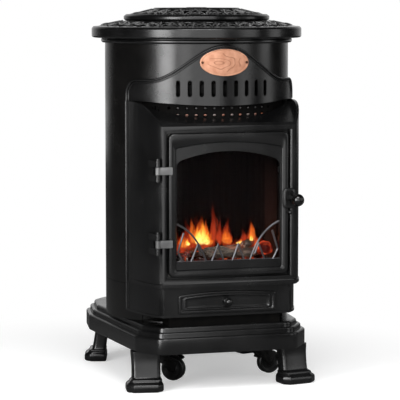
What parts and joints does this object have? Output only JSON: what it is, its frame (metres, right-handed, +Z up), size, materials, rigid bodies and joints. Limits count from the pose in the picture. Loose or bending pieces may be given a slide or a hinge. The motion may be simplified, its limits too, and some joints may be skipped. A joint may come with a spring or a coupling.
{
  "type": "free-standing gas stove",
  "caption": "Round black cabinet stove on a footed plinth, with a glazed front door, a fuel-effect fire, a drawer, a vented hood, a domed lid and a rear door.",
  "frame": {"origin": "bottom centre of the overall box, on the floor under the cabinet", "axes": "+Z up, -Y towards the front with the glazed door, +X to the viewer's right"},
  "size_m": [0.436, 0.5326, 0.7673],
  "materials": {
    "cast_iron": "satin black stove enamel over cast metal",
    "black_sheet": "satin black heat-proof paint on sheet steel",
    "fire_sheet": "dull heat-browned sheet steel",
    "bright_steel": "bright zinc-plated steel",
    "copper_plate": "plain brushed copper-coloured plate, no lettering",
    "gas_brass": "machined brass",
    "gas_copper": "drawn copper pipe",
    "fibre_lining": "sooted ceramic-fibre board with vertical flutes",
    "fibre_coal": "glowing ceramic-fibre coals",
    "fibre_log": "grey-brown ceramic-fibre logs",
    "window_glass": "clear heat-proof glass",
    "rope_seal": "woven glass-fibre rope",
    "fret_steel": "grey satin steel",
    "black_knob": "glossy black moulded plastic",
    "red_button": "glossy red moulded plastic",
    "castor_tread": "black rubber tread on a black wheel"
  },
  "bodies": {
    "stove": {"base_plinth": "cast_iron", "leg_front_left": "cast_iron", "leg_front_right": "cast_iron", "leg_rear_left": "cast_iron", "leg_rear_right": "cast_iron", "plinth_fittings": "bright_steel", "kick_panel": "cast_iron", "floor_pan": "black_sheet", "lower_casting": "cast_iron", "drawer_runners": "black_sheet", "front_casting": "cast_iron", "shoulder_plate": "cast_iron", "outlet_grille": "black_sheet", "hood_band": "cast_iron", "hood_rim": "cast_iron", "badge_plate": "copper_plate", "badge_screws": "bright_steel", "lower_shell": "black_sheet", "upper_shell": "black_sheet", "neck_ring": "cast_iron", "top_ring": "cast_iron", "control_deck": "black_sheet", "bulkhead": "black_sheet", "heat_baffle": "black_sheet", "firebox": "fire_sheet", "firebox_liner": "fibre_lining", "burner_tray": "fire_sheet", "ember_bed": "fibre_coal", "log_set": "fibre_log", "pilot_burner": "bright_steel", "gas_valve": "gas_brass", "gas_pipe": "gas_copper", "hinge_brackets": "cast_iron", "hinge_pins": "bright_steel", "latch_keeper": "bright_steel", "lid_bracket": "cast_iron", "rear_hinge_leaves": "black_sheet"},
    "door": {"door_frame": "cast_iron", "door_straps": "cast_iron", "door_glass": "window_glass", "door_gasket": "rope_seal", "glass_clips": "bright_steel", "window_fret": "fret_steel"},
    "latch": {"latch_knob": "black_knob"},
    "drawer": {"drawer_front": "cast_iron", "drawer_tray": "black_sheet", "drawer_knob": "black_knob"},
    "lid": {"domed_lid": "cast_iron"},
    "control": {"control_knob": "black_knob"},
    "igniter": {"igniter_button": "red_button"},
    "back_door": {"rear_door": "black_sheet", "rear_pull": "cast_iron"},
    "castor_1": {"castor_fork_1": "black_sheet"},
    "wheel_1": {"castor_wheel_1": "castor_tread"},
    "castor_2": {"castor_fork_2": "black_sheet"},
    "wheel_2": {"castor_wheel_2": "castor_tread"},
    "castor_3": {"castor_fork_3": "black_sheet"},
    "wheel_3": {"castor_wheel_3": "castor_tread"},
    "castor_4": {"castor_fork_4": "black_sheet"},
    "wheel_4": {"castor_wheel_4": "castor_tread"}
  },
  "joints": [
    {"name": "door_hinge", "type": "hinge", "parent": "stove", "child": "door", "pos_m": [-0.1485, -0.21575, 0.375], "axis": [0, 0, -1], "range_deg": [0, 110]},
    {"name": "latch_turn", "type": "hinge", "parent": "door", "child": "latch", "pos_m": [0.13, -0.21275, 0.3865], "axis": [0, -1, 0], "range_deg": [0, 90]},
    {"name": "drawer_slide", "type": "slide", "parent": "stove", "child": "drawer", "axis": [0, -1, 0], "range_m": [0, 0.07]},
    {"name": "lid_hinge", "type": "hinge", "parent": "stove", "child": "lid", "pos_m": [0, 0.17575, 0.7453], "axis": [-1, 0, 0], "range_deg": [0, 85]},
    {"name": "control_turn", "type": "hinge", "parent": "stove", "child": "control", "pos_m": [-0.062, -0.04575, 0.714], "axis": [0, 0, 1], "range_deg": [0, 180]},
    {"name": "igniter_press", "type": "slide", "parent": "stove", "child": "igniter", "axis": [0, 0, -1], "range_m": [0, 0.005], "stiffness_N_per_m": 400, "springref_m": -0.002},
    {"name": "back_door_hinge", "type": "hinge", "parent": "stove", "child": "back_door", "pos_m": [0.1626, 0.12676, 0.413], "axis": [0, 0, -1], "range_deg": [0, 110]},
    {"name": "castor_1_swivel", "type": "hinge", "parent": "stove", "child": "castor_1", "pos_m": [-0.104, -0.06775, 0.08], "axis": [0, 0, 1], "continuous": true},
    {"name": "castor_1_roll", "type": "hinge", "parent": "castor_1", "child": "wheel_1", "pos_m": [-0.07973, -0.08538, 0.029], "axis": [0.5878, 0.809, 0], "continuous": true},
    {"name": "castor_2_swivel", "type": "hinge", "parent": "stove", "child": "castor_2", "pos_m": [0.104, -0.06775, 0.08], "axis": [0, 0, 1], "continuous": true},
    {"name": "castor_2_roll", "type": "hinge", "parent": "castor_2", "child": "wheel_2", "pos_m": [0.13354, -0.06254, 0.029], "axis": [-0.1736, 0.9848, 0], "continuous": true},
    {"name": "castor_3_swivel", "type": "hinge", "parent": "stove", "child": "castor_3", "pos_m": [-0.092, 0.16625, 0.08], "axis": [0, 0, 1], "continuous": true},
    {"name": "castor_3_roll", "type": "hinge", "parent": "castor_3", "child": "wheel_3", "pos_m": [-0.08474, 0.19536, 0.029], "axis": [-0.9703, 0.2419, 0], "continuous": true},
    {"name": "castor_4_swivel", "type": "hinge", "parent": "stove", "child": "castor_4", "pos_m": [0.092, 0.16625, 0.08], "axis": [0, 0, 1], "continuous": true},
    {"name": "castor_4_roll", "type": "hinge", "parent": "castor_4", "child": "wheel_4", "pos_m": [0.08474, 0.19536, 0.029], "axis": [-0.9703, -0.2419, 0], "continuous": true}
  ]
}
